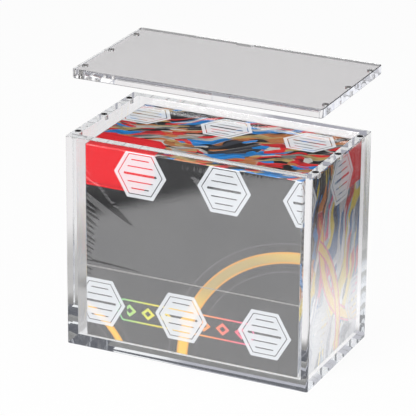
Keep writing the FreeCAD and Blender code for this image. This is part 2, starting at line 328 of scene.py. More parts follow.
def acrylicFinish():
    finish = Finish("clearAcrylic")
    where = finish.point(*finish.place())
    cloud = finish.grain(where, acrylic["cloudScale"])
    scuffs = finish.grain(where, acrylic["scuffScale"], detail=3)
    tint = finish.paint(acrylic["milky"], acrylic["clear"], finish.rise(cloud, *acrylic["cloudRange"]))
    return clearBody(finish, tint, Roughness=finish.rise(scuffs, *acrylic["scuffRange"]) * acrylic["scuff"])


def cementFinish():
    finish = Finish("cementedJoint")
    streaks = finish.grain(finish.point(*finish.place()), cement["streakScale"], detail=4)
    clear = finish.node("BsdfTransparent", None, {"Color": cement["clear"]})
    skin = finish.node("BsdfDiffuse", None, {"Color": cement["skin"]})
    share = finish.rise(streaks, *cement["streakRange"]) * cement["share"]
    return finish.end(finish.node("MixShader", None, {0: share, 1: clear, 2: skin}))


def sawnFinish():    # a cut left unpolished, which lets the table's light through; its left stretch is painted brighter, as painted light
    finish = Finish("sawnEdge")
    x, y, z = finish.place()
    marks = finish.grain(finish.point(x, y, z), sawnCut["markScale"], detail=3)
    plain, dull, paintedLit = (finish.node("BsdfTranslucent", None, {"Color": sawnCut[tone]})
                        for tone in ("plain", "dull", "paintedLit"))
    worn = finish.node("MixShader", None, {0: finish.rise(marks, *sawnCut["markRange"]), 1: plain, 2: dull})
    return finish.end(finish.node("MixShader", None, {
        0: finish.rise(x, *sawnCut["paintedLitRange"]), 1: worn, 2: paintedLit}))


def easedShadeFinish():    # a broken edge, a little rough, with painted shade: a dark tint that draws dark lines along the lid's edges
    finish = Finish("easedEdgeShade")
    marks = finish.grain(finish.point(*finish.place()), easedCutShade["markScale"], detail=3)
    tint = finish.paint(easedCutShade["plain"], easedCutShade["dull"], finish.rise(marks, *easedCutShade["markRange"]))
    return clearBody(finish, tint, Roughness=easedCutShade["rough"])


def wavyBlueShadeFinish():    # an end polished by flame, with a swell in it and a painted bluish shade
    finish = Finish("wavyEndBlueShade")
    x, y, z = finish.place()
    where = finish.point(x, y, z * wavyCutBlueShade["swellRise"])
    swell = finish.grain(where, wavyCutBlueShade["swellScale"], detail=1)
    press = finish.node("Bump", None, {"Distance": wavyCutBlueShade["swellHeight"], "Height": swell})
    return clearBody(finish, wavyCutBlueShade["tint"], Roughness=wavyCutBlueShade["rough"], Normal=press)


clearAcrylic = acrylicFinish()
cementedJoint = cementFinish()
sawnEdge = sawnFinish()
easedEdgeShade = easedShadeFinish()
wavyEndBlueShade = wavyBlueShadeFinish()

caseCut = {"corner": 1.3 * mm, "cornerSteps": 6, "edge": 0.3 * mm, "edgeSteps": 2}
pocketCut = {"diameter": 4.1 * mm, "depth": 3.05 * mm, "beyond": 1 * mm}
baseLow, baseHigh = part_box("base_plate")


def magnetSpots(kind):    # the middles of one row of magnets
    boxes = [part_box(name) for name in sorted(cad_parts) if name.startswith(kind)]
    return [(low + high) / 2 for low, high in boxes]


def nowhere(face):
    return False


def finishAcrylic(piece, node, body, bonded=nowhere, sawn=nowhere, eased=nowhere, wavy=nowhere):
    dress(piece, clearAcrylic, cementedJoint, sawnEdge, easedEdgeShade, wavyEndBlueShade)
    for slot, wanted in enumerate((bonded, sawn, eased, wavy), start=1):
        pick(piece, "FACE", wanted)
        piece.active_material_index = slot
        bpy.ops.object.material_slot_assign()
        clearSelection()
    evenShading(piece)
    piece.visible_shadow = False    # lamps reach the carton through it
    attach(piece, body)
    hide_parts(node)


def sidePanel(node, name, magnets):
    low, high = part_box(node)
    piece = addBlock(name, low, high)
    outer, inner = (low.x, high.x) if low.x < 0 else (high.x, low.x)
    bevelEdges(piece, lambda edge: isUpright(edge) and near(ends(edge)[0].x, outer),
               caseCut["corner"], caseCut["cornerSteps"])

    def isInner(edge):
        return all(near(p.x, inner) for p in ends(edge))
    for height in (low.z, high.z):
        bevelEdges(piece, lambda edge: isRim(edge, height) and not isInner(edge),
                   caseCut["edge"], caseCut["edgeSteps"])
    for spot in magnetSpots(magnets):
        drill(piece, spot, pocketCut["diameter"], high.z - pocketCut["depth"],
              high.z + pocketCut["beyond"])
    scoreLine(piece, (0, baseLow.y, 0), (0, 1, 0))
    scoreLine(piece, (0, baseHigh.y, 0), (0, 1, 0))
    scoreLine(piece, (0, 0, baseHigh.z), (0, 0, 1))

    def bonded(face):
        middle = face.calc_center_median()
        joined = middle.y < baseLow.y or middle.y > baseHigh.y or middle.z < baseHigh.z
        return near(middle.x, inner) and joined
    finishAcrylic(piece, node, "case", bonded)


def endPanel(node, name):
    low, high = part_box(node)
    piece = addBlock(name, low, high)
    outer, inner = (low.y, high.y) if low.y < 0 else (high.y, low.y)

    def isOuter(edge):
        return all(near(p.y, outer) for p in ends(edge))
    for height in (low.z, high.z):
        bevelEdges(piece, lambda edge: isRim(edge, height) and isOuter(edge),
                   caseCut["edge"], caseCut["edgeSteps"])
    scoreLine(piece, (0, 0, baseHigh.z), (0, 0, 1))

    def bonded(face):
        middle = face.calc_center_median()
        foot = near(middle.y, inner) and middle.z < baseHigh.z
        return abs(face.normal.x) > squarely or foot

    def sawn(face):    # only the back sheet's foot shows, through the base
        return outer > 0 and near(face.calc_center_median().z, low.z)
    finishAcrylic(piece, node, "case", bonded, sawn)


def floorPanel(node, name):
    piece = addBlock(name, *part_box(node))
    finishAcrylic(piece, node, "case", lambda face: abs(face.normal.z) < 1 - squarely)


lidCut = {"corner": 1.8 * mm, "cornerSteps": 7, "edge": 0.5 * mm, "edgeSteps": 3, "slanted": (0.1, 0.95),
          "notchWide": 10.4 * mm, "notchDeep": 1.6 * mm, "notchShift": 9 * mm, "notchRound": 0.8 * mm,
          "notchSteps": 5, "beyond": 5 * mm}


def lidSheet(node, name):
    low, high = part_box(node)
    piece = addBlock(name, low, high)
    bevelEdges(piece, isUpright, lidCut["corner"], lidCut["cornerSteps"])
    middle = (low.x + high.x) / 2 - lidCut["notchShift"]
    half, over = lidCut["notchWide"] / 2, lidCut["beyond"]
    wall = high.y - lidCut["notchDeep"]
    cutter = addBlock("notchCutter", (middle - half, wall, low.z - over),
                      (middle + half, high.y + over, high.z + over))
    bevelEdges(cutter, lambda edge: isUpright(edge) and near(ends(edge)[0].y, wall),
               lidCut["notchRound"], lidCut["notchSteps"])
    cutAway(piece, cutter)

    def inNotch(edge):
        return all(abs(p.x - middle) < half + mm and p.y > wall - mm for p in ends(edge))
    for height in (low.z, high.z):
        bevelEdges(piece, lambda edge: isRim(edge, height) and not inNotch(edge),
                   lidCut["edge"], lidCut["edgeSteps"])
    for spot in magnetSpots("lid_magnet"):
        drill(piece, spot, pocketCut["diameter"], low.z - pocketCut["beyond"],
              low.z + pocketCut["depth"])

    def eased(face):    # all broken edges but those of the left end; these take the painted shade
        least, most = lidCut["slanted"]
        onLeft = face.calc_center_median().x <= low.x + lidCut["corner"]
        return least < abs(face.normal.z) < most and not onLeft

    def wavy(face):    # the right end
        return face.normal.x > squarely
    finishAcrylic(piece, node, "lid", eased=eased, wavy=wavy)


sidePanel("left_panel", "acrylic_left", "case_magnet_left")
sidePanel("right_panel", "acrylic_right", "case_magnet_right")
endPanel("front_panel", "acrylic_front")
endPanel("back_panel", "acrylic_back")
floorPanel("base_plate", "acrylic_base")
lidSheet("lid_plate", "acrylic_lid")
print("acrylic panels and lid are made")


# Nickel magnets, near-black on the face at the open end of each pocket
magnet = {"nickel": (0.80, 0.79, 0.77), "dull": (0.52, 0.50, 0.47), "dullScale": 2.5,
          "dullRange": (0.35, 0.7), "darkFace": (0.006, 0.006, 0.007), "darkFaceDeep": 0.15, "darkFaceSoft": 0.05,
          "metal": 0.9, "rough": 0.18, "roughScale": 6.0, "roughGrain": 0.1, "darkFaceRough": 0.25}


def magnetFinish(name, height, side):
    finish = Finish(name)
    x, y, z = finish.place()
    where = finish.point(x, y, z)
    deep, soft = magnet["darkFaceDeep"], magnet["darkFaceSoft"]
    onDarkFace = finish.rise((z - height) * side, -deep - soft, -deep + soft)
    worn = finish.rise(finish.grain(where, magnet["dullScale"], detail=4), *magnet["dullRange"])
    colour = finish.paint(finish.paint(magnet["nickel"], magnet["dull"], worn), magnet["darkFace"], onDarkFace)
    rough = magnet["rough"] + finish.grain(where, magnet["roughScale"]) * magnet["roughGrain"]
    return finish.end(finish.node("BsdfPrincipled", None, {
        "Base Color": colour, "Metallic": (1 - onDarkFace) * magnet["metal"],
        "Roughness": rough + onDarkFace * magnet["darkFaceRough"]}))


caseTop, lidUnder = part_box("left_panel")[1].z / mm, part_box("lid_plate")[0].z / mm
caseMagnet = magnetFinish("caseMagnetNickel", caseTop, 1)
lidMagnet = magnetFinish("lidMagnetNickel", lidUnder, -1)
for name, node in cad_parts.items():
    if "magnet" in name:
        dress(node, caseMagnet if name.startswith("case") else lidMagnet)
print("magnets are plated")


# The printed carton: charcoal front and back, bright shards on top and ends, bare white board at the cuts
carton = {"charcoal": (0.020, 0.020, 0.022), "graphite": (0.032, 0.032, 0.034), "toneScale": 0.03,
          "toneRange": (0.3, 0.7), "board": (0.70, 0.68, 0.65), "black": (0.0, 0.0, 0.0), "middle": 1.75,
          "turnRange": (0.45, 0.55), "frontRange": (-0.45, -0.55), "topRange": (110.0, 112.0),
          "endSquash": 0.9, "endShade": (60.0, 125.0), "endShadeShare": 0.25,
          "tearHeight": 50.9, "tearStart": -37.3, "tearSlope": (0.912, 0.410), "flapSoft": 0.1,
          "frontTear": (0.5, 0.2), "endTear": (0.9, 0.5), "nickStep": 5.0, "nick": (0.5, 4.5),
          "nickSoft": 0.15, "nickShare": 0.5, "wornShare": 0.85,
          "foldWear": (0.37, 0.345, 0.28), "foldRange": (6.5, 6.2), "foldFacing": (-0.9, -0.6),
          "foldShare": 0.9, "fibreScale": 3.0, "fibreRange": (0.45, 0.75), "fibreShare": 0.08,
          "press": 0.05, "pressDeep": 0.1 * mm, "rough": 0.40, "fibreRough": 0.14, "wornRough": 0.3,
          "specular": 0.3}
topField = {"turn": 24, "long": 24.0, "wide": 6.5, "dark": 0.58, "inks": [
    (0.0, (0.012, 0.012, 0.014)), (0.20, (0.72, 0.02, 0.025)), (0.36, (0.62, 0.60, 0.56)),
    (0.46, (0.01, 0.27, 0.72)), (0.57, (0.60, 0.22, 0.07)), (0.68, (0.05, 0.055, 0.07)),
    (0.78, (0.55, 0.40, 0.16)), (0.86, (0.78, 0.03, 0.03)), (0.93, (0.20, 0.21, 0.20))]}
endField = {"turn": 68, "long": 34.0, "wide": 7.5, "dark": 0.3, "inks": [
    (0.0, (0.22, 0.26, 0.36)), (0.16, (0.04, 0.16, 0.42)), (0.28, (0.82, 0.08, 0.26)),
    (0.40, (0.62, 0.64, 0.70)), (0.54, (0.88, 0.68, 0.04)), (0.64, (0.03, 0.05, 0.12)),
    (0.72, (0.78, 0.78, 0.80)), (0.86, (0.30, 0.48, 0.62)), (0.94, (0.72, 0.04, 0.08))]}
flapField = {"turn": 80, "long": 22.0, "wide": 5.0, "dark": 0.4, "inks": [
    (0.0, (0.008, 0.008, 0.010)), (0.36, (0.80, 0.26, 0.02)), (0.48, (0.02, 0.02, 0.03)),
    (0.66, (0.02, 0.24, 0.62)), (0.76, (0.85, 0.66, 0.03)), (0.84, (0.008, 0.008, 0.010)),
    (0.94, (0.66, 0.03, 0.04))]}
splinter = {"swayScale": 0.022, "swayLong": 44, "swayWide": 38, "dark": (0.012, 0.010, 0.014),
            "shadeStretch": (1.7, 0.9), "shadeRange": (0.35, 0.75),
            "seam": (0.80, 0.79, 0.76), "seamRange": (0.030, 0.016), "seamShare": 0.3,
            "chipScale": 2.7, "chipRange": (0.56, 0.58),
            "strokeStretch": (0.8, 7.0), "strokeRange": (0.55, 0.64),
            "glint": (0.85, 0.80, 0.70), "glintRange": (0.38, 0.30), "glintShare": 0.4}


def shards(finish, u, v, field):    # splintered colour fields
    turn = math.radians(field["turn"])
    cosine, sine = math.cos(turn), math.sin(turn)
    sway = finish.grain(finish.point(u, v), splinter["swayScale"]) - 0.5
    along = (u * cosine + v * sine + sway * splinter["swayLong"]) / field["long"]
    across = (v * cosine - u * sine + sway * splinter["swayWide"]) / field["wide"]

    def cells(feature, scale, output):
        return finish.node("TexVoronoi", {"voronoi_dimensions": "2D", "feature": feature},
                           {"Vector": finish.point(along, across), "Scale": scale}, output=output)

    def inked(share):
        return finish.node("ValToRGB", {"blend": "CONSTANT", "stops": field["inks"]}, {0: share})

    def streaks(stretch, detail):
        return finish.grain(finish.point(along * stretch[0], across * stretch[1]), 1.0, detail)
    ink = inked(finish.split(cells("F1", 1.0, "Color"))[0])
    shade = finish.rise(streaks(splinter["shadeStretch"], 3), *splinter["shadeRange"])
    ink = finish.paint(ink, splinter["dark"], shade * field["dark"])
    seams = finish.rise(cells("DISTANCE_TO_EDGE", 1.0, "Distance"), *splinter["seamRange"])
    ink = finish.paint(ink, splinter["seam"], seams * splinter["seamShare"])
    chipInk, chipPick = finish.split(cells("F1", splinter["chipScale"], "Color"))[:2]
    ink = finish.paint(ink, inked(chipInk), finish.rise(chipPick, *splinter["chipRange"]))
    strokes = streaks(splinter["strokeStretch"], 2)
    darkened = finish.rise(strokes, *splinter["strokeRange"])
    ink = finish.paint(ink, splinter["dark"], darkened * field["dark"])
    glints = finish.rise(strokes, *splinter["glintRange"])
    return finish.paint(ink, splinter["glint"], glints * splinter["glintShare"])


# Each arc: its middle across and up, its radius and its width
gold = {"bright": (0.86, 0.56, 0.035), "edge": (0.78, 0.33, 0.02), "worn": (0.30, 0.26, 0.15),
        "line": (0.16, 0.15, 0.165), "rim": (0.75, 0.05, 0.18),
        "arcs": ((74.0, 2.0, 78.0, 7.0), (-92.0, -24.0, 56.0, 4.5)), "soft": 0.2,
        "wornMiddle": 62, "wornRange": (34.0, 6.0), "wornShare": 0.75,
        "edgeWide": 1.0, "edgeSoft": 0.25, "edgeShare": 0.8,
        "lineOff": (1.2, 1.7), "lineSoft": 0.3, "lineShare": 0.8,
        "endArcs": ((52.0, 88.0, 72.0, 5.0), (-70.0, 20.0, 78.0, 4.0)), "endSoft": 0.3,
        "rimOff": (0.4, 1.5), "rimSoft": 0.2}


def offArc(u, v, middleU, middleV, size):    # how far a point is from an arc's line
    across, up = u - middleU, v - middleV
    return abs((across * across + up * up) ** 0.5 - size)


def goldArcs(finish, under, x, z):    # on the broad sides, with a thin line on either hand
    worn = finish.rise(abs(z - gold["wornMiddle"]), *gold["wornRange"])
    plain = finish.paint(gold["bright"], gold["worn"], worn * gold["wornShare"])
    for middleX, middleZ, size, wide in gold["arcs"]:
        off = offArc(x, z, middleX, middleZ, size)
        half, soft = wide / 2, gold["soft"]
        edge = finish.within(off, half - gold["edgeWide"], half, gold["edgeSoft"])
        band = finish.paint(plain, gold["edge"], edge * gold["edgeShare"])
        line = finish.within(off, *(wide + gap for gap in gold["lineOff"]), gold["lineSoft"])
        under = finish.paint(under, gold["line"], line * gold["lineShare"])
        under = finish.paint(under, band, finish.rise(off, half + soft, half - soft))
    return under


def endArcs(finish, under, y, z):    # on the ends, with a coloured rim
    for middleY, middleZ, size, wide in gold["endArcs"]:
        off = offArc(y, z, middleY, middleZ, size)
        half, soft = wide / 2, gold["endSoft"]
        under = finish.paint(under, gold["bright"], finish.rise(off, half + soft, half - soft))
        rim = finish.within(off, *(half + gap for gap in gold["rimOff"]), gold["rimSoft"])
        under = finish.paint(under, gold["rim"], rim)
    return under


label = {"red": (0.83, 0.016, 0.026), "shade": (0.52, 0.008, 0.016), "reach": 22.0, "soft": 0.15,
         "line": (1.5, 2.1), "lineSoft": 0.12, "broadLow": 101.5, "broadCut": 9.0,
         "topEdge": -17.0, "topCut": 7.0, "endEdge": -14.0, "endLow": 103.0, "endCut": 7.0}


def addLabel(finish, under, x, z, low, cut):    # a bare corner label with one cut corner
    corner = finish.smaller(-label["reach"] - x, z - low)
    corner = finish.smaller(corner, (z - low) - (x + label["reach"] + cut))
    under = finish.paint(under, label["red"], finish.rise(corner, -label["soft"], label["soft"]))
    return finish.paint(under, label["shade"], finish.within(corner, *label["line"], label["lineSoft"]))


title = {"run": (-48.0, 44.0), "middle": (-2.0, 27.0), "half": (45.0, 7.0), "lean": 0.6,
         "line": (-1.0, 0.0), "lineSoft": 0.2, "step": 12.0, "squash": 0.9,
         "outer": (4.2, 3.8), "inner": (1.6, 2.0), "rowEnd": (38.0, 37.5), "tones": [
             (0.0, (0.10, 0.62, 0.30)), (0.25, (0.75, 0.72, 0.05)), (0.5, (0.92, 0.55, 0.03)),
             (0.75, (0.92, 0.20, 0.12)), (1.0, (0.85, 0.10, 0.35))]}


def titleBar(finish, under, x, z):    # an empty colour-run frame with a row of lozenges
    start, stop = title["run"]
    share = finish.node("MapRange", None, {"Value": x, "From Min": start, "From Max": stop})
    tone = finish.node("ValToRGB", {"stops": title["tones"]}, {0: share})
    (middleX, middleZ), (halfWide, halfTall) = title["middle"], title["half"]
    across, up = abs(x - middleX), abs(z - middleZ)
    outline = finish.larger(across - halfWide + up * title["lean"], up - halfTall)
    under = finish.paint(under, tone, finish.within(outline, *title["line"], title["lineSoft"]))
    halfStep = title["step"] / 2
    lozenge = abs((x - middleX + halfStep) % title["step"] - halfStep) * title["squash"] + up
    row = finish.rise(lozenge, *title["outer"]) * finish.rise(lozenge, *title["inner"])
    return finish.paint(under, tone, row * finish.rise(across, *title["rowEnd"]))


def cartonFinish():
    finish = Finish("printedCarton")
    x, y, z = finish.place()
    nx, ny, nz = finish.facing()
    where = finish.point(x, y, z)
    fibre = finish.grain(where, carton["fibreScale"], detail=3)
    tone = finish.rise(finish.grain(where, carton["toneScale"]), *carton["toneRange"])
    plain = finish.paint(carton["charcoal"], carton["graphite"], tone)

    mirrorX = carton["middle"] - (x - carton["middle"]) * ny    # reads left to right on both broad sides
    broad = titleBar(finish, goldArcs(finish, plain, mirrorX, z), mirrorX, z)
    broad = addLabel(finish, broad, mirrorX, z, label["broadLow"], label["broadCut"])
    top = shards(finish, x, y, topField)
    top = addLabel(finish, top, x, label["topEdge"] - y, 0.0, label["topCut"])

    # The tear line slants up both ends, and the cover's flap lies in front of it
    overTear = z - carton["tearHeight"]
    slopeY, slopeZ = carton["tearSlope"]
    slope = (y - carton["tearStart"]) * slopeY - overTear * slopeZ
    flap = finish.rise(slope, carton["flapSoft"], -carton["flapSoft"])
    squashed = y * carton["endSquash"]
    end = endArcs(finish, shards(finish, squashed, z, endField), y, z)
    end = finish.paint(end, shards(finish, squashed, z, flapField), flap)
    end = finish.paint(end, plain, finish.rise(z, *carton["endShade"]) * carton["endShadeShare"])
    end = addLabel(finish, end, label["endEdge"] - y * nx, z, label["endLow"], label["endCut"])

    onEnd = finish.rise(abs(nx), *carton["turnRange"])
    onTop = finish.rise(nz, *carton["turnRange"]) * finish.rise(z, *carton["topRange"])
    colour = finish.paint(plain, broad, finish.rise(abs(ny), *carton["turnRange"]))
    colour = finish.paint(finish.paint(colour, end, onEnd), top, onTop)
    frontCut = finish.rise(abs(overTear), *carton["frontTear"]) * finish.rise(ny, *carton["frontRange"])
    endCut = finish.rise(abs(slope), *carton["endTear"]) * onEnd
    nick = finish.within((z + y + x) % carton["nickStep"], *carton["nick"], carton["nickSoft"])
    nick = nick * carton["nickShare"] + (1 - carton["nickShare"])
    worn = finish.larger(frontCut, endCut) * nick
    colour = finish.paint(colour, carton["board"], worn * carton["wornShare"])
    foot = finish.rise(z, *carton["foldRange"]) * finish.rise(nz, *carton["foldFacing"])
    colour = finish.paint(colour, carton["foldWear"], foot * carton["foldShare"])
    specks = finish.rise(fibre, *carton["fibreRange"]) * carton["fibreShare"]
    colour = finish.paint(colour, carton["black"], specks)
    rough = carton["rough"] + fibre * carton["fibreRough"] + worn * carton["wornRough"]
    press = finish.node("Bump", None, {
        "Strength": carton["press"], "Distance": carton["pressDeep"], "Height": fibre})
    return finish.end(finish.node("BsdfPrincipled", None, {
        "Base Color": colour, "Roughness": rough, "Normal": press,
        "Specular IOR Level": carton["specular"]}))


printedCarton = cartonFinish()
for name in ("booster_tray", "booster_cover"):
    dress(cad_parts[name], printedCarton)
print("carton is printed")


# Card packs in foil, standing in two columns inside the carton
pack = {"foil": (0.42, 0.46, 0.52), "ink": (0.05, 0.09, 0.22), "flash": (0.62, 0.16, 0.05),
        "sweepStretch": (0.6, 0.2), "sweepScale": 0.05, "sweepRange": (0.48, 0.58),
        "crimpScale": 1.1, "crimpWander": 0.6, "middle": 64.9, "crimpRange": (50.5, 51.5),
        "bandRange": (3.0, 2.0), "press": 0.3, "pressDeep": 0.3 * mm,
        "metal": 0.7, "rough": 0.25, "sweepRough": 0.2}


def packFinish():
    finish = Finish("packFoil")
    x, y, z = finish.place()
    stretchX, stretchY = pack["sweepStretch"]
    sweep = finish.grain(finish.point(x * stretchX, y * stretchY, z), pack["sweepScale"], detail=3)
    crimp = finish.node("TexWave", {"bands_direction": "X"}, {
        "Vector": finish.point(x, y, z), "Scale": pack["crimpScale"], "Distortion": pack["crimpWander"]})
    colour = finish.paint(pack["ink"], pack["flash"], finish.rise(sweep, *pack["sweepRange"]))
    crimped = finish.rise(abs(z - pack["middle"]), *pack["crimpRange"])
    band = finish.rise(abs(z - carton["tearHeight"]), *pack["bandRange"])
    colour = finish.paint(finish.paint(colour, pack["foil"], crimped), pack["foil"], band)
    press = finish.node("Bump", None, {
        "Strength": pack["press"], "Distance": pack["pressDeep"], "Height": crimp})
    return finish.end(finish.node("BsdfPrincipled", None, {
        "Base Color": colour, "Metallic": pack["metal"],
        "Roughness": pack["rough"] + sweep * pack["sweepRough"], "Normal": press}))


packFoil = packFinish()
for name in ("card_packs_left", "card_packs_right"):
    dress(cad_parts[name], packFoil)
print("card packs have their foil")


# Shrink film: one tight clear skin, drawn into creases along the folds, with a pale printed mark
film = {"inset": 0.02 * mm, "lift": 0.05 * mm, "cuts": ((83,), (55,), (64, 3)), "crowd": 0.8,
        "fold": 0.6 * mm, "foldSteps": 3, "flat": 0.999,
        "slack": 0.05 * mm, "slackSize": 34 * mm, "slackShift": 7, "seed": 7}
crease = {"band": (40.0, 114.0), "start": 0.2, "step": (2.4, 4.2), "length": (6.0, 15.0),
          "half": (1.2, 1.9), "height": (0.24, 0.40), "slant": (15, 50), "slantSpread": (0.6, 1.2),
          "narrowing": 0.6, "falling": 0.5}
# Longer creases on the front, each from one point to another across and up, with its half width and height
frontCreases = [((0.5, 92.0), (35.0, 71.0), 4.5, 0.45), ((8.0, 101.0), (20.0, 84.0), 3.0, 0.34),
                ((2.0, 105.0), (14.0, 91.0), 1.8, 0.4), ((71.0, 113.0), (85.0, 99.0), 2.0, 0.4),
                ((82.0, 114.0), (91.0, 106.0), 1.5, 0.3), ((0.4, 48.0), (46.0, 46.4), 1.8, 0.3)]


def foldCreases(draw):    # short creases that run down and in from the left upright fold of one side
    made = []
    bottom, top = crease["band"]
    shortest, longest = crease["length"]
    flattest, steepest = crease["slant"]
    rise = bottom
    while rise < top:
        share = (rise - bottom) / (top - bottom)
        length = draw.uniform(shortest, shortest + share * (longest - shortest))
        slant = flattest + share * (steepest - flattest) * draw.uniform(*crease["slantSpread"])
        across, down = length * math.cos(math.radians(slant)), length * math.sin(math.radians(slant))
        made.append(((crease["start"], rise), (across, rise - down),
                     draw.uniform(*crease["half"]), draw.uniform(*crease["height"])))
        rise += draw.uniform(*crease["step"])
    return made


def creaseHeight(creases, across, rise):    # height of the film over its flat, all in millimetres
    height = 0
    for (fromU, fromV), (toU, toV), half, tall in creases:
        if abs(rise - (fromV + toV) / 2) > abs(fromV - toV) / 2 + half:
            continue
        runU, runV = toU - fromU, toV - fromV
        length = math.hypot(runU, runV)
        along = ((across - fromU) * runU + (rise - fromV) * runV) / length ** 2
        if not 0 < along < 1:
            continue
        aside = abs((across - fromU) * runV - (rise - fromV) * runU) / length
        reach = half * (1 - along) ** crease["narrowing"]
        if aside < reach:
            height = max(height, tall * (1 - along) ** crease["falling"] * (1 - aside / reach))
    return height


def isFlat(face):
    return max(map(abs, face.normal)) > film["flat"]


def wrapFilm(node, name):
    low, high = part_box(node)
    inset = Vector((film["inset"],) * 3)
    piece = addBlock(name, low + inset + Vector((0, 0, film["lift"])), high - inset)
    for axis, rounds in enumerate(film["cuts"]):
        def runsAlong(edge):
            a, b = ends(edge)
            return abs((b - a).normalized()[axis]) > squarely
        for cuts in rounds:
            pick(piece, "EDGE", runsAlong)
            bpy.ops.mesh.subdivide(number_cuts=cuts)
            bpy.ops.object.mode_set(mode="OBJECT")
    low, high = Vector(piece.bound_box[0]), Vector(piece.bound_box[6])

    def isOuter(p, axis):
        return near(p[axis], low[axis]) or near(p[axis], high[axis])

    def isFold(edge):
        hits = [sum(isOuter(p, axis) for p in ends(edge)) for axis in range(3)]
        return hits.count(2) >= 2
    for point in piece.data.vertices:    # grid lines crowd towards the upright folds
        for axis in (0, 1):
            middle, half = (low[axis] + high[axis]) / 2, (high[axis] - low[axis]) / 2
            share = (point.co[axis] - middle) / half
            point.co[axis] = middle + half * (share + film["crowd"] * (share - share ** 3) / 2)
    bevelEdges(piece, isFold, film["fold"], film["foldSteps"])
    draw = random.Random(film["seed"])
    size = (high - low) / mm
    creases = {(facing, side): foldCreases(draw) for facing in (0, 1) for side in (-1, 1)}
    creases[1, -1] += frontCreases
    pick(piece, "FACE", isFlat)
    mesh = bmesh.from_edit_mesh(piece.data)
    moves = []
    for point in mesh.verts:
        if not all(isFlat(face) for face in point.link_faces):
            continue
        normal = point.link_faces[0].normal.copy()
        facing = max(range(3), key=lambda axis: abs(normal[axis]))
        side = 1 if normal[facing] > 0 else -1
        if facing == 2 and side < 0:    # the underside stays flat
            continue
        height = 0
        if facing < 2:
            away = (point.co[1 - facing] - low[1 - facing]) / mm
            if side * (1 if facing == 0 else -1) < 0:
                away = size[1 - facing] - away
            height = creaseHeight(creases[facing, side], away, (point.co.z - low.z) / mm) * mm
        broad = noise.noise(point.co / film["slackSize"] + normal * film["slackShift"])
        moves.append((point, normal * (height + (broad * 0.5 + 0.5) * film["slack"])))
    for point, move in moves:
        point.co += move
    bmesh.update_edit_mesh(piece.data)
    bpy.ops.object.mode_set(mode="OBJECT")
    bpy.ops.object.shade_smooth()
    dress(piece, filmFinish())
    piece.visible_shadow = False
    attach(piece, "carton")
    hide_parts(node)


mark = {"ink": (0.80, 0.83, 0.86), "rough": 0.3, "share": 0.74, "size": 14.5, "soft": 0.12,
        "step": (53.0, 84.0), "start": (31.0, 13.0), "topShift": 9.0, "endShift": 14.0,
        "slope": (0.866, 0.5), "line": (2.6, 2.1), "lineSoft": 0.1,
        "slitStep": 4.2, "slitWide": 0.7, "slitSoft": 0.1, "slitEnd": (5.2, 5.4)}
skin = {"turnRange": (0.6, 0.7), "blend": 0.5, "mirrorLeast": 0.158, "mirrorEdge": 0.84, "mirrorPower": 4.2,
        "top": 126.5, "runStretch": (0.55, 0.06), "runRange": (7.0, 1.5), "runShare": 0.6,
        "fineScale": 0.12, "fineStretch": 2, "fineShare": 0.036, "pucker": 0.3 * mm,
        "clear": (0.985, 0.985, 0.985), "shine": (1, 1, 1), "shineRough": 0.05}


def printedMark(finish, u, v):    # a hexagon with slots, repeated in staggered rows
    stepU, stepV = mark["step"]
    row = finish.node("Math", {"operation": "FLOOR"}, {0: v / stepV})
    across = abs((u + row * (stepU / 2)) % stepU - stepU / 2)
    up = abs(v % stepV - stepV / 2)
    slopeU, slopeV = mark["slope"]
    hexagon = finish.larger(across * slopeU + up * slopeV, up)
    size, soft = mark["size"], mark["soft"]
    body = finish.rise(hexagon, size + soft, size - soft)
    line = finish.within(hexagon, *(size - gap for gap in mark["line"]), mark["lineSoft"])
    slits = finish.within(up % mark["slitStep"], 0.0, mark["slitWide"], mark["slitSoft"])
    slits = slits * finish.rise(hexagon, *(size - gap for gap in mark["slitEnd"]))
    return body * (1 - line) * (1 - slits)


def filmFinish():
    finish = Finish("shrinkFilm")
    x, y, z = finish.place()
    nx, ny, nz = finish.facing()
    broad, end, top = (finish.rise(way, *skin["turnRange"]) for way in (abs(ny), abs(nx), nz))
    u = x + end * (y - x + mark["endShift"])
    v = z + top * (y - z + mark["topShift"])
    startU, startV = mark["start"]
    flat = finish.larger(broad, finish.larger(end, top))
    printed = printedMark(finish, u + startU, v + startV) * flat
    facing = finish.node("LayerWeight", None, {"Blend": skin["blend"]}, output="Facing")
    mirror = skin["mirrorLeast"] + (facing ** skin["mirrorPower"]) * skin["mirrorEdge"]
    fromTop = skin["top"] - z
    runU, runV = skin["runStretch"]
    runs = finish.grain(finish.point(u * runU, fromTop * runV), 1.0, 1)
    runs = runs * finish.rise(fromTop, *skin["runRange"])
    fine = finish.grain(finish.point(x, y * skin["fineStretch"], z), skin["fineScale"], 2)
    pucker = finish.node("Bump", None, {
        "Strength": 1.0, "Distance": skin["pucker"],
        "Height": fine * skin["fineShare"] + runs * skin["runShare"]})
    clear = finish.node("BsdfTransparent", None, {"Color": skin["clear"]})
    shine = finish.node("BsdfAnisotropic", None, {
        "Color": skin["shine"], "Roughness": skin["shineRough"], "Normal": pucker})
    bare = finish.node("MixShader", None, {0: mirror, 1: clear, 2: shine})
    ink = finish.node("BsdfPrincipled", None, {"Base Color": mark["ink"], "Roughness": mark["rough"]})
    return finish.end(finish.node("MixShader", None, {0: printed * mark["share"], 1: bare, 2: ink}))


wrapFilm("shrink_film", "wrap_film")
print("film is drawn tight")


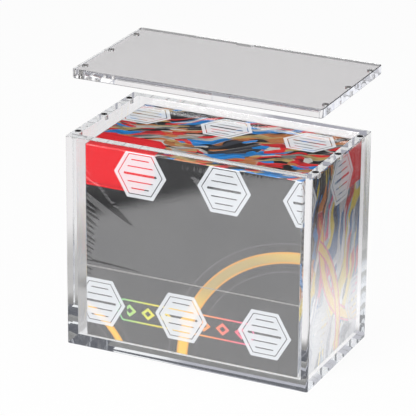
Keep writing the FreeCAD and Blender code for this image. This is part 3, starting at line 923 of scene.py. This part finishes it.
# Studio: a pale table in a dim room; the camera sees only white behind the part, and elsewhere the table's
# glow holds painted shadows and painted pools of light
# On the table, near, foot and unlit are painted shadow; white, farGlow and sideGlow are painted light.
table = {"size": 6.0, "drop": 0.25 * mm, "white": (0.98, 0.98, 0.98), "near": (0.50, 0.495, 0.49),
         "far": (0.885, 0.872, 0.876), "unlit": (0.02, 0.02, 0.02), "foot": (0.22, 0.217, 0.214),
         "farGlow": (1.15, 1.15, 1.15), "sideGlow": (1.5, 1.5, 1.5), "shown": (1, 1, 1),
         "shownStrength": 0.94, "paint": (0.06, 0.06, 0.06)}
# Where on the table, in millimetres, each of its painted light and shade tones begins and ends
tableMarks = {"underLightX": (79.0, 77.0), "underLightY": (44.5, 42.5),
              "farBack": (105.0, 175.0), "farRight": (5.0, 35.0),
              "footShadowBack": (62.0, 46.0), "footShadowFront": (30.0, 42.0), "footShadowSide": (135.0, 105.0),
              "whiteFront": (-120.0, -200.0), "litRight": (60.0, 110.0), "litFront": (20.0, -60.0),
              "sideGlow": (210.0, 120.0), "farGlowX": (20.0, 60.0), "farGlowY": (350.0, 385.0),
              "edgeLean": (0.833, 0.552), "edge": (-245.0, -272.0), "edgeFront": (40.0, -40.0),
              "sideReach": (140.0, 300.0), "sideRight": (60.0, 120.0), "sideDeep": (0.0, 357.0, 20.0),
              "lidField": (-262.0, 415.0, 6.0)}
room = {"plain": (0.035, 0.035, 0.037), "deep": (0.165, 0.172, 0.20), "back": (0.10, 0.105, 0.125),
        "backdrop": (0.40, 0.40, 0.43), "front": (0.84, 0.85, 0.90), "overhead": (0.3, 0.3, 0.3),
        "shown": (1, 1, 1), "backdropTop": (0.385, 0.345), "backRange": (0.3, 0.6),
        "frontRange": (-0.3, -0.6), "overheadRange": (0.55, 0.9)}
# How many mirrors or sheets the light has met
path = {"straight": (0.6, 0.4), "mirrored": (0.5, 2.0, 0.4), "deep": (2.4, 2.6),
        "oneSheet": (1.0, 2.0, 0.5)}


def lightPath(finish):    # whether the camera sees it straight, and the mirrors met on the way
    camera = finish.node("LightPath", output="Is Camera Ray")
    return camera, finish.also(camera, "Glossy Depth")


# The table's glow, seen in reflections and through the acrylic, is painted light and shade.
def floorFinish():
    finish = Finish("paleTable")
    x, y = finish.place()[:2]

    def upTo(value, key):
        return finish.rise(value, *tableMarks[key])
    camera, turns = lightPath(finish)
    mirrored, deep = finish.within(turns, *path["mirrored"]), finish.rise(turns, *path["deep"])
    throughLid = finish.within(finish.also(camera, "Transmission Depth"), *path["oneSheet"])
    lidOnly = throughLid * (1 - finish.within(y, *tableMarks["lidField"]))
    reach = (x * x + y * y) ** 0.5
    leanX, leanY = tableMarks["edgeLean"]
    inward = x * leanX + y * leanY    # how far in from the lit table's front left edge
    frontEnd = upTo(inward, "edge") * upTo(y, "edgeFront")
    sideEnd = upTo(reach, "sideReach") * upTo(x, "sideRight") * finish.within(y, *tableMarks["sideDeep"])
    right = upTo(x, "litRight")
    paintedLit = finish.larger(right, upTo(y, "litFront"))
    farther = finish.larger(upTo(y, "farBack"), upTo(x, "farRight"))
    under = upTo(abs(x), "underLightX") * upTo(abs(y), "underLightY")
    # painted contact shadow in a strip just behind the case
    behind = upTo(y, "footShadowBack") * upTo(y, "footShadowFront") * upTo(abs(x), "footShadowSide")
    # painted shadow of the case: darker near it, lighter farther out
    shade = finish.paint(table["near"], table["far"], farther)
    shade = finish.paint(shade, table["foot"], behind)
    # painted light: white right under the case, and far in front for deep paths
    shade = finish.paint(shade, table["white"], finish.larger(under, deep * upTo(y, "whiteFront")))
    # painted pool of light on the table's front and right
    shade = finish.paint(shade, table["white"], paintedLit * mirrored)
    # painted glows to the right and far back
    shade = finish.paint(shade, table["sideGlow"], right * mirrored * upTo(reach, "sideGlow"))
    shade = finish.paint(shade, table["farGlow"], upTo(x, "farGlowX") * upTo(y, "farGlowY"))
    # painted shade: dark reaches of the table seen in mirrors
    shade = finish.paint(shade, table["unlit"], finish.larger(frontEnd, sideEnd) * mirrored * (1 - lidOnly))
    glow = finish.node("Emission", None, {"Color": shade, "Strength": 1.0})
    shown = finish.node("Emission", None, {"Color": table["shown"], "Strength": table["shownStrength"]})
    paint = finish.node("BsdfDiffuse", None, {"Color": table["paint"]})
    seen = finish.node("AddShader", None, {0: shown, 1: paint})
    return finish.end(finish.node("MixShader", None, {0: camera, 1: glow, 2: seen}))


def setTable():
    clearSelection()
    bpy.ops.mesh.primitive_plane_add(size=table["size"], location=(0, 0, -table["drop"]))
    piece = settle(bpy.context.object)
    piece.name = "table_floor"
    dress(piece, floorFinish())
    piece.data.materials[0].cycles.emission_sampling = "NONE"


def setRoom():
    scene.world = bpy.data.worlds.new("studioRoom")
    finish = Finish(scene.world)
    along, above = finish.split(finish.node("TexCoord", output="Generated"))[1:]
    camera, turns = lightPath(finish)
    deep = finish.rise(turns, *path["deep"])
    through = finish.also(camera, "Is Transmission Ray") * finish.rise(turns, *path["straight"])
    behind = finish.paint(room["back"], room["backdrop"], finish.rise(above, *room["backdropTop"]))
    shade = finish.paint(room["plain"], room["deep"], deep)
    shade = finish.paint(shade, behind, deep * finish.rise(along, *room["backRange"]))
    shade = finish.paint(shade, room["front"], deep * finish.rise(along, *room["frontRange"]))
    shade = finish.paint(shade, room["overhead"], finish.rise(above, *room["overheadRange"]))
    shade = finish.paint(shade, table["far"], through)
    shade = finish.paint(shade, room["shown"], camera)
    finish.end(finish.node("Background", None, {"Color": shade, "Strength": 1.0}))
    scene.world.cycles.sampling_method = "NONE"


lamps = {"over": {"at": (-0.05, 0.05, 1.15), "aim": (0, 0, 0.1), "size": (0.9, 0.8), "power": 5.0,
                  "mirrored": True},
         "front": {"at": (-0.55, -1.35, 0.85), "aim": (0, 0, 0.08), "size": (0.8, 0.8), "power": 14.0,
                   "mirrored": True},
         "right": {"at": (1.3, -0.3, 0.7), "aim": (0, 0, 0.08), "size": (0.7, 0.7), "power": 5.0,
                   "mirrored": False}}


def setLamps():
    for name, lamp in lamps.items():
        light = bpy.data.lights.new(name, "AREA")
        light.shape = "RECTANGLE"
        light.size, light.size_y = lamp["size"]
        light.energy = lamp["power"]
        holder = bpy.data.objects.new(name, light)
        holder.location = lamp["at"]
        way = Vector(lamp["aim"]) - Vector(lamp["at"])
        holder.rotation_euler = way.to_track_quat("-Z", "Y").to_euler()
        holder.visible_transmission = False
        holder.visible_glossy = lamp["mirrored"]
        scene.collection.objects.link(holder)


setTable()
setRoom()
setLamps()
print("studio is lit")
